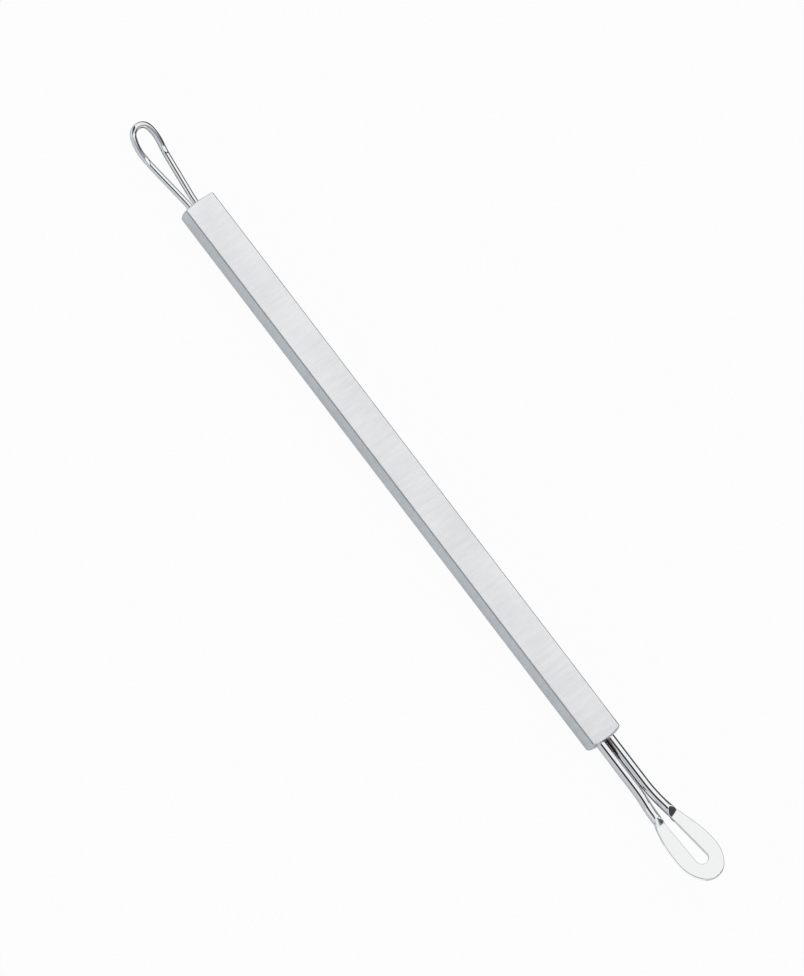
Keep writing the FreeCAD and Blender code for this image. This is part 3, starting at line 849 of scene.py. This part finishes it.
DARK_END = (0.060, 0.060, 0.070)


def sky_patch(tree, x, roll, x_range, roll_range, x_softness, roll_softness):
    return math_node(tree, "MULTIPLY", between(tree, x, *x_range, x_softness),
                     between(tree, roll, *roll_range, roll_softness))


def white_mask(tree, x, z, roll):
    """The softbox and the other white panels, down to the horizon."""
    slanted = math_node(tree, "SUBTRACT", roll, math_node(tree, "MULTIPLY", x, BAND_SLANT))
    white = sky_patch(tree, x, slanted, BAND_X, BAND_ROLL, X_SOFTNESS, PANEL_ROLL_SOFTNESS)
    for across, around, softness in WHITE_PANELS:
        panel = sky_patch(tree, x, roll, across, around, softness, PANEL_ROLL_SOFTNESS)
        white = math_node(tree, "MAXIMUM", white, panel)
    white = math_node(tree, "MAXIMUM", white, edge_mask(tree, x, END_REFLECTOR_X, X_SOFTNESS))
    return math_node(tree, "MULTIPLY", white, edge_mask(tree, z, HORIZON_Z, HORIZON_SOFTNESS))


def sky_colour(tree):
    """White panels on a dark sky, with a grey side over -Y and a dim patch ahead that has a dark part."""
    x, y, z = coordinates(tree, "Generated")
    roll = math_node(tree, "DEGREES", math_node(tree, "ARCTAN2", y, z))
    dim = sky_patch(tree, x, roll, DIM_X, DIM_ROLL, X_SOFTNESS, ROLL_SOFTNESS)
    unlit = sky_patch(tree, x, roll, FACET_DARK_X, FACET_DARK_ROLL, FACET_X_SOFTNESS, FACET_ROLL_SOFTNESS)
    dim = math_node(tree, "MULTIPLY", dim, inverse(tree, unlit))
    grey = inverse(tree, edge_mask(tree, roll, GREY_SIDE_ROLL, ROLL_SOFTNESS))
    colour = mix_colours(tree, edge_mask(tree, x, DARK_END_X, X_SOFTNESS), DARK, DARK_END)
    colour = mix_colours(tree, dim, colour, DIM)
    colour = mix_colours(tree, grey, colour, GREY_SIDE)
    return mix_colours(tree, white_mask(tree, x, z, roll), colour, WHITE)


def make_sky():
    """The studio for the metal and the light, and a white backdrop for the camera."""
    world = bpy.data.worlds.new("studio")
    bpy.context.scene.world = world
    world.use_nodes = True
    tree = world.node_tree
    tree.nodes.clear()
    rays = tree.nodes.new("ShaderNodeLightPath")
    studio = tree.nodes.new("ShaderNodeBackground")
    tree.links.new(sky_colour(tree), studio.inputs["Color"])
    backdrop = add_node(tree, "ShaderNodeBackground", [("Color", (1, 1, 1, 1))])
    choose = tree.nodes.new("ShaderNodeMixShader")
    tree.links.new(rays.outputs["Is Camera Ray"], choose.inputs["Fac"])
    tree.links.new(studio.outputs[0], choose.inputs[1])
    tree.links.new(backdrop.outputs[0], choose.inputs[2])
    out = tree.nodes.new("ShaderNodeOutputWorld")
    tree.links.new(choose.outputs[0], out.inputs["Surface"])


# Floor and cards


def make_plane(name, low, high, height, material):
    corners = [(low[0], low[1], height), (high[0], low[1], height),
               (high[0], high[1], height), (low[0], high[1], height)]
    mesh = bpy.data.meshes.new(name)
    mesh.from_pydata(corners, [], [(0, 1, 2, 3)])
    mesh.materials.append(material)
    plane = bpy.data.objects.new(name, mesh)
    bpy.context.scene.collection.objects.link(plane)
    return plane


FLOOR_HALF_SIZE = 1.5
FLOOR_COLOUR = (0.74, 0.79, 0.80, 1)
FLOOR_ROUGHNESS = 0.9
FLOOR_IN_METAL = (0.85, 0.87, 0.88)
CAMERA_SHARE = 0.955
GLOSSY_SHARE = 0.3


def make_floor():
    """A white table: bright to the camera, paler in reflections, and it keeps the tool's shadow."""
    material, tree, shader = new_material("white_table")
    shader.inputs["Base Color"].default_value = FLOOR_COLOUR
    shader.inputs["Roughness"].default_value = FLOOR_ROUGHNESS
    shader.inputs["Specular IOR Level"].default_value = 0.0
    rays = tree.nodes.new("ShaderNodeLightPath")
    glow = add_node(tree, "ShaderNodeEmission", [("Strength", 1.0)])
    tree.links.new(mix_colours(tree, rays.outputs["Is Glossy Ray"], WHITE, FLOOR_IN_METAL),
                   glow.inputs["Color"])
    camera_share = math_node(tree, "MULTIPLY", rays.outputs["Is Camera Ray"], CAMERA_SHARE)
    glossy_share = math_node(tree, "MULTIPLY", rays.outputs["Is Glossy Ray"], GLOSSY_SHARE)
    choose = tree.nodes.new("ShaderNodeMixShader")
    tree.links.new(math_node(tree, "MAXIMUM", camera_share, glossy_share), choose.inputs["Fac"])
    tree.links.new(shader.outputs[0], choose.inputs[1])
    tree.links.new(glow.outputs[0], choose.inputs[2])
    tree.links.new(choose.outputs[0], tree.nodes["Material Output"].inputs["Surface"])
    half = FLOOR_HALF_SIZE
    make_plane("floor", (-half, -half), (half, half), 0.0, material)


# Cards on the table: name, low and high corner in millimetres, brightness
CARD_HEIGHT = 0.05 * MM
CARDS = (
    ("black_card", (-250, 6), (250, 200), 0.02),
    ("shade_under_fine_loop", (-60, -1.9), (-47, 1.2), 0.06),
    ("shade_under_flat_legs", (47, -2.1), (58.6, 1.6), 0.06),
    ("shade_under_ring", (58.6, -2.1), (66, 1.6), 0.6),
    ("white_card", (58, -40), (90, -3.1), 1.0),
)


def make_card(name, low, high, brightness):
    """A card on the table that only the metal sees."""
    material, tree, shader = new_material(name)
    tree.nodes.remove(shader)
    glow = add_node(tree, "ShaderNodeEmission", [("Color", (brightness, brightness, brightness, 1))])
    tree.links.new(glow.outputs[0], tree.nodes["Material Output"].inputs["Surface"])
    corners = [tuple(v * MM for v in corner) for corner in (low, high)]
    card = make_plane(name, *corners, CARD_HEIGHT, material)
    card.visible_camera = False
    card.visible_diffuse = False
    card.visible_shadow = False


# Camera
CAMERA_PLACE = Vector((50.28, -230.73, 837.29)) * MM
CAMERA_AIM = Vector((1.88, -1.14, 2.25)) * MM
HANDLE_SLANT = math.radians(-52.65)    # of the tool's +X in the picture, from the right
CAMERA_LENS = 242.5
SENSOR_WIDTH = 36.0
CLIP_START = 0.01
CLIP_END = 10.0


def make_camera():
    camera = bpy.data.objects.new("camera", bpy.data.cameras.new("camera"))
    bpy.context.scene.collection.objects.link(camera)
    bpy.context.scene.camera = camera
    back = (CAMERA_PLACE - CAMERA_AIM).normalized()
    ahead = (X_DIR - back * X_DIR.dot(back)).normalized()
    left = back.cross(ahead)
    right = ahead * math.cos(HANDLE_SLANT) - left * math.sin(HANDLE_SLANT)
    upright = back.cross(right)
    turned = Matrix((right, upright, back)).transposed().to_4x4()
    camera.matrix_world = Matrix.Translation(CAMERA_PLACE) @ turned
    camera.data.sensor_width = SENSOR_WIDTH
    camera.data.lens = CAMERA_LENS
    camera.data.clip_start = CLIP_START
    camera.data.clip_end = CLIP_END


satin = satin_material()
polished = wire_material()
solder = solder_material()
make_handle(satin)
make_fine_loop(polished)
make_flat_loop(polished)
for name in ("fine_loop_solder", "flat_loop_solder"):
    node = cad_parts[name]
    node.data.materials.clear()
    node.data.materials.append(solder)

make_sky()
make_floor()
for card in CARDS:
    make_card(*card)
make_camera()
bpy.context.scene.view_settings.view_transform = "Standard"
